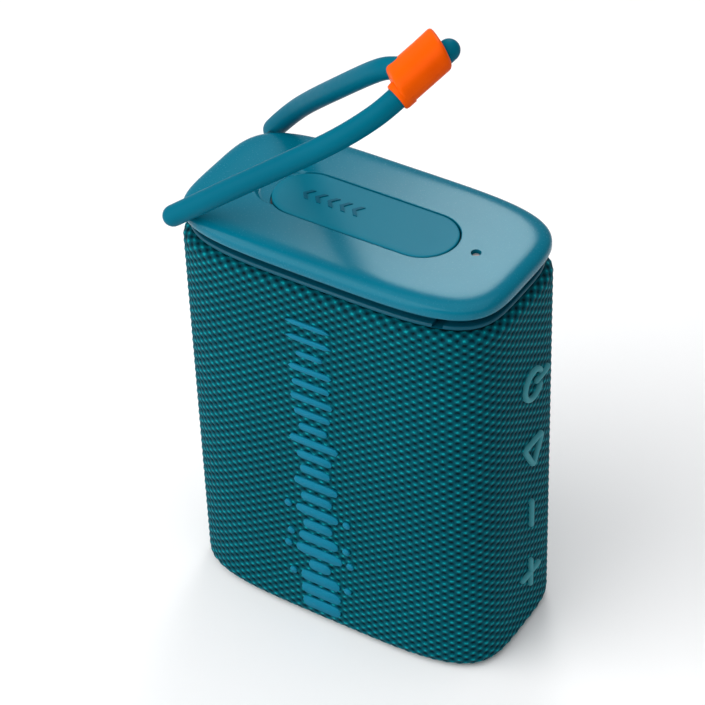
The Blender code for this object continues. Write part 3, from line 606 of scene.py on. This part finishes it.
def stroke(route, closed):
    """Rings along a rounded bead that lies on the right end, from (y, z) points in mm."""
    route = np.asarray(route, float)
    if closed:
        along = np.roll(route, -1, axis=0) - np.roll(route, 1, axis=0)
    else:
        along = np.gradient(route, axis=0)
    along /= np.linalg.norm(along, axis=1)[:, None]
    across = np.column_stack([along[:, 1], -along[:, 0]])
    stations = [(point, side, 1.0) for point, side in zip(route, across)]
    if not closed:
        start, end = [], []
        for turn in np.linspace(pi / 2 * 0.92, 0, 5):
            reach, share = STROKE_RADIUS * sin(turn), cos(turn)
            start.append((route[0] - along[0] * reach, across[0], share))
            end.append((route[-1] + along[-1] * reach, across[-1], share))
        stations = start + stations[1:-1] + end[::-1]
    rings = []
    turns = 2 * pi * np.arange(STROKE_SIDES) / STROKE_SIDES
    raised = np.sign(np.sin(turns)) * np.abs(np.sin(turns)) ** 0.8
    for point, side, share in stations:
        y = point[0] + side[0] * share * STROKE_RADIUS * np.cos(turns)
        z = point[1] + side[1] * share * STROKE_RADIUS * np.cos(turns)
        proud = np.where(raised > 0, STROKE_PROUD * share * raised, STROKE_SUNK * raised)
        rings.append(np.column_stack([end_depth(point[0]) + proud, y, z]))
    return rings


def arc(centre, radius, start, end, count):
    """Points along part of a circle."""
    turns = np.linspace(start, end, count)
    return [(centre[0] + radius * cos(a), centre[1] + radius * sin(a)) for a in turns]


def rounded_loop(corners, radius, count=6):
    """A closed route round corners, each rounded off."""
    corners = [np.array(c, float) for c in corners]
    route = []
    for index, corner in enumerate(corners):
        before = corners[index - 1] - corner
        after = corners[(index + 1) % len(corners)] - corner
        start = corner + before / np.linalg.norm(before) * radius
        end = corner + after / np.linalg.norm(after) * radius
        for t in np.linspace(0, 1, count):
            route.append((1 - t) ** 2 * start + 2 * t * (1 - t) * corner + t**2 * end)
    return route


def key_symbols():
    """Each key's strokes, as (route, closed)."""
    ring = arc((KEY_Y - 0.1, POWER_Z), 3.6, radians(32), radians(328), 40)
    line = [(KEY_Y + 1.3 + 0.5 * step, POWER_Z) for step in range(12)]
    corners = [(KEY_Y - 3.6, PLAY_Z + 2), (KEY_Y + 4.3, PLAY_Z + 1.9), (KEY_Y + 0.4, PLAY_Z - 4.9)]
    triangle = rounded_loop(corners, 1.1)
    bar = [(KEY_Y, VOLUME_DOWN_Z - 3.8 + 0.85 * step) for step in range(9)]
    upright = [(KEY_Y, VOLUME_UP_Z - 3.6 + 0.9 * step) for step in range(9)]
    level = [(KEY_Y - 3.6 + 0.9 * step, VOLUME_UP_Z) for step in range(9)]
    return {
        "power": [(ring, False), (line, False)],
        "play": [(triangle, True)],
        "volume_down": [(bar, False)],
        "volume_up": [(upright, False), (level, False)],
    }


for key, strokes in key_symbols().items():
    points, faces = [], []
    for route, closed in strokes:
        rings = stroke(route, closed)
        first = sum(len(part) for part in points)
        bead_faces = ring_faces(len(rings), STROKE_SIDES, closed)
        if not closed:
            last = (len(rings) - 1) * STROKE_SIDES
            bead_faces.append(tuple(range(STROKE_SIDES))[::-1])
            bead_faces.append(tuple(range(last, last + STROKE_SIDES)))
        faces += [tuple(first + corner for corner in face) for face in bead_faces]
        points.append(np.concatenate(rings))
    points = np.concatenate(points)
    symbol = add_piece(f"key_{key}_symbol", points, faces, key_finish, f"key_{key}")
    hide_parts(f"button_{key}")


# Carry loop. A round silicone cord whose two ends turn on a thin bar under the cap's left end. It
# comes up in a slack V over the cap, and its far end is one rounded tip beyond the orange keeper.

CORD_RADIUS, CORD_SIDES, STEPS_PER_SPAN = 2.4, 28, 14
BAR_X, BAR_Z, BAR_HALF_LENGTH, BAR_RADIUS = -35.7, 102.5, 19.5, 0.9
KEEPER_CENTRE = Vector((11.4, 4.3, 143.4))
keeper_along = Vector((0.4245, 0.7624, 0.4876)).normalized()
keeper_across = Vector((0.7694, -0.5878, 0.2492))
keeper_across = (keeper_across - keeper_along * keeper_across.dot(keeper_along)).normalized()
keeper_through = keeper_along.cross(keeper_across)
silicone = moulded(
    "teal silicone", (0.0, 0.11, 0.17), (0.0, 0.122, 0.187), 0.4, 700, 0.01, 25, Specular_IOR_Level=0.03
)


def smooth_route(points):
    """A Catmull-Rom curve through the points."""
    ends = [points[0] * 2 - points[1], *points, points[-1] * 2 - points[-2]]
    route = []
    for index in range(1, len(ends) - 2):
        before, start, end, after = ends[index - 1 : index + 3]
        for step in range(STEPS_PER_SPAN):
            t = step / STEPS_PER_SPAN
            linear = 2 * start + (end - before) * t
            curved = (2 * before - 5 * start + 4 * end - after) * t**2
            cubic = (3 * start - before - 3 * end + after) * t**3
            route.append((linear + curved + cubic) * 0.5)
    return [*route, points[-1]]


def sweep(name, route, radius, finish, sides):
    """A round silicone cord of the loop along the route, with both ends domed."""
    behind, beyond = [route[0], *route[:-1]], [*route[1:], route[-1]]
    along = [(after - before).normalized() for before, after in zip(behind, beyond)]
    side = along[0].orthogonal().normalized()
    stations = []
    for point, way in zip(route, along):
        side = (side - way * side.dot(way)).normalized()
        stations.append((point, side, way.cross(side), radius))
    first, last = stations[0], stations[-1]
    start, end = [], []
    for turn in np.linspace(pi / 2 * 0.97, 0, 9):
        reach, width = radius * sin(turn), radius * cos(turn)
        start.append((first[0] - along[0] * reach, first[1], first[2], width))
        end.append((last[0] + along[-1] * reach, last[1], last[2], width))
    rings = []
    turns = 2 * pi * np.arange(sides) / sides
    for point, side, other, width in start + stations[1:-1] + end[::-1]:
        rings.append(np.array([point + (side * cos(a) + other * sin(a)) * width for a in turns]))
    return loft(name, rings, finish, "loop")


def from_keeper(ahead, aside, under):
    """A point in mm along the keeper's own directions from its centre."""
    return KEEPER_CENTRE + keeper_along * ahead + keeper_across * aside + keeper_through * under


front_points = [Vector((-35.5, -20.3, 104.6)), Vector((-22.4, -18.4, 114.6)), Vector((-10.6, -15.2, 123))]
front_points += [Vector((0.3, -11.5, 130.8)), Vector((6.8, -7.4, 136))]
front_points += [from_keeper(-8, 2.75, 0.6), from_keeper(0, 2.3, 0.5), from_keeper(6.8, 1.8, 0.7)]
back_points = [Vector((-37.2, 21.4, 100.5)), Vector((-36.3, 20.6, 102.6)), Vector((-27.3, 18.1, 112.6))]
back_points += [Vector((-11.6, 10, 127.7)), Vector((2.2, 4.2, 139.9))]
back_points += [from_keeper(-2, -2.3, -1), from_keeper(3, -0.8, 0)]
front_cord = sweep("cord_front_strand", smooth_route(front_points), CORD_RADIUS, silicone, CORD_SIDES)
sweep("cord_back_strand", smooth_route(back_points), CORD_RADIUS, silicone, CORD_SIDES)
bar_finish = moulded("pivot bar", (0.0004, 0.06, 0.09), (0.0008, 0.08, 0.11), 0.4, 900, 0.01)
bar_route = [Vector((BAR_X, y, BAR_Z)) for y in np.linspace(-BAR_HALF_LENGTH, BAR_HALF_LENGTH, 9)]
sweep("cord_pivot_bar", bar_route, BAR_RADIUS, bar_finish, 16)
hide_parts("carry_loop")


# Keeper. A soft-cornered orange silicone sleeve pushed down over both strands. Its ends slant a little
# across the strands, and a small lip runs round the front strand where it enters.

KEEPER_LENGTH, KEEPER_WIDTH, KEEPER_THICK = 12.8, 11.8, 7.6
KEEPER_SLANT = -0.26
KEEPER_POWER, KEEPER_POINTS, KEEPER_WAIST = 2.6, 80, 0.05
LIP_ASIDE, LIP_UNDER = 2.7, 0.6
keeper_finish = moulded(
    "orange silicone", (0.72, 0.07, 0.0), (0.8, 0.095, 0.0), 0.4, 1400, 0.012, 60, Specular_IOR_Level=0.05
)


def keeper_ring(share, draw_in):
    """A soft-cornered oblong round the keeper, share of the way along it and drawn in by draw_in."""
    turns = 2 * pi * np.arange(KEEPER_POINTS) / KEEPER_POINTS
    x = np.sign(np.cos(turns)) * np.abs(np.cos(turns)) ** (2 / KEEPER_POWER)
    y = np.sign(np.sin(turns)) * np.abs(np.sin(turns)) ** (2 / KEEPER_POWER)
    waist = 1 - KEEPER_WAIST * sin(pi * share) * (y < 0) * np.abs(y)
    x, y = x * (KEEPER_WIDTH / 2 - draw_in), y * waist * (KEEPER_THICK / 2 - draw_in)
    ahead = KEEPER_LENGTH * (share - 0.5) + KEEPER_SLANT * (0.5 * x + 0.866 * y)
    return np.array([from_keeper(*place) for place in zip(ahead, x, y)])


edge = [(0.0, 3.0), (0.0, 1.6), (0.004, 0.85), (0.02, 0.38), (0.045, 0.12), (0.08, 0.0)]
stations = edge + [(share, 0) for share in np.linspace(0.14, 0.86, 14)]
stations += [(1 - share, draw_in) for share, draw_in in edge[::-1]]
keeper_rings = [keeper_ring(share, draw_in) for share, draw_in in stations]
keeper = loft("orange_keeper", keeper_rings, keeper_finish, "loop")
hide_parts("loop_keeper")
lip_line = [(-7.6, 2.5), (-7.6, 2.8), (-7.45, 3.0), (-7.1, 3.1), (-6.5, 3.15), (-5.0, 3.15), (-4.4, 2.5)]
lip_rings = []
for ahead, radius in lip_line:
    ring = []
    for turn in 2 * pi * np.arange(40) / 40:
        ring.append(from_keeper(ahead, LIP_ASIDE + radius * cos(turn), LIP_UNDER + radius * sin(turn)))
    lip_rings.append(np.array(ring))
loft("keeper_lip", lip_rings, keeper_finish, "loop")


# Inside and underneath. The parts that the shell hides, or that show only through the pin hole, under
# the flap or from below, keep their solid shapes and get the finish that each is really made with.

near_black, soft_black = (0.012, 0.012, 0.014), (0.02, 0.02, 0.022)
copper_dark, copper_light = (0.62, 0.2, 0.07), (0.75, 0.28, 0.11)
board_dark, board_light = (0.004, 0.06, 0.02), (0.008, 0.09, 0.03)
inside_finishes = {
    "black_plastic": moulded("black plastic", (0.010, 0.010, 0.012), (0.016, 0.016, 0.018), 0.5, 1200, 0.02),
    "rubber": moulded("grey-green rubber", (0.018, 0.075, 0.09), (0.024, 0.09, 0.105), 0.75, 1600, 0.02),
    "steel": moulded("plated steel", (0.5, 0.51, 0.53), (0.62, 0.63, 0.65), 0.3, 500, 0.004, metallic=1.0),
    "black_component": moulded("black component", near_black, soft_black, 0.4, 1500, 0.01),
    "ferrite": moulded("sintered ferrite", (0.035, 0.035, 0.038), (0.06, 0.06, 0.062), 0.7, 800, 0.03),
    "foam_and_rubber": moulded("black foam", (0.012, 0.012, 0.012), (0.02, 0.02, 0.02), 0.9, 2500, 0.05),
    "pulp": moulded("pressed pulp", (0.02, 0.02, 0.02), (0.045, 0.045, 0.045), 0.85, 1400, 0.04),
    "copper": moulded("enamelled copper", copper_dark, copper_light, 0.3, 3000, 0.02, metallic=1.0),
    "circuit_board": moulded("green circuit board", board_dark, board_light, 0.35, 700, 0.01),
    "cell_wrap": moulded("blue cell wrap", (0.01, 0.05, 0.22), (0.015, 0.065, 0.27), 0.25, 300, 0.006),
    "clear_plastic": moulded("light pipe plastic", (0.2, 0.19, 0.2), (0.26, 0.24, 0.25), 0.4, 900, 0.004),
    "lead_jacket": moulded("red lead jacket", (0.3, 0.012, 0.01), (0.36, 0.018, 0.014), 0.4, 1500, 0.008),
    "teal_plastic": teal_plastic,
    "silicone": silicone,
    "orange_plastic": keeper_finish,
    "button_rubber": key_finish,
    "woven_fabric": sleeve.data.materials[0],
}
for part in frame["record"]["subparts"]:
    solid, finish = nodes[part["node"]], inside_finishes[part["material_slot"]]
    solid.data.materials.clear()
    solid.data.materials.append(finish)
    for place in solid.material_slots:
        place.material = finish
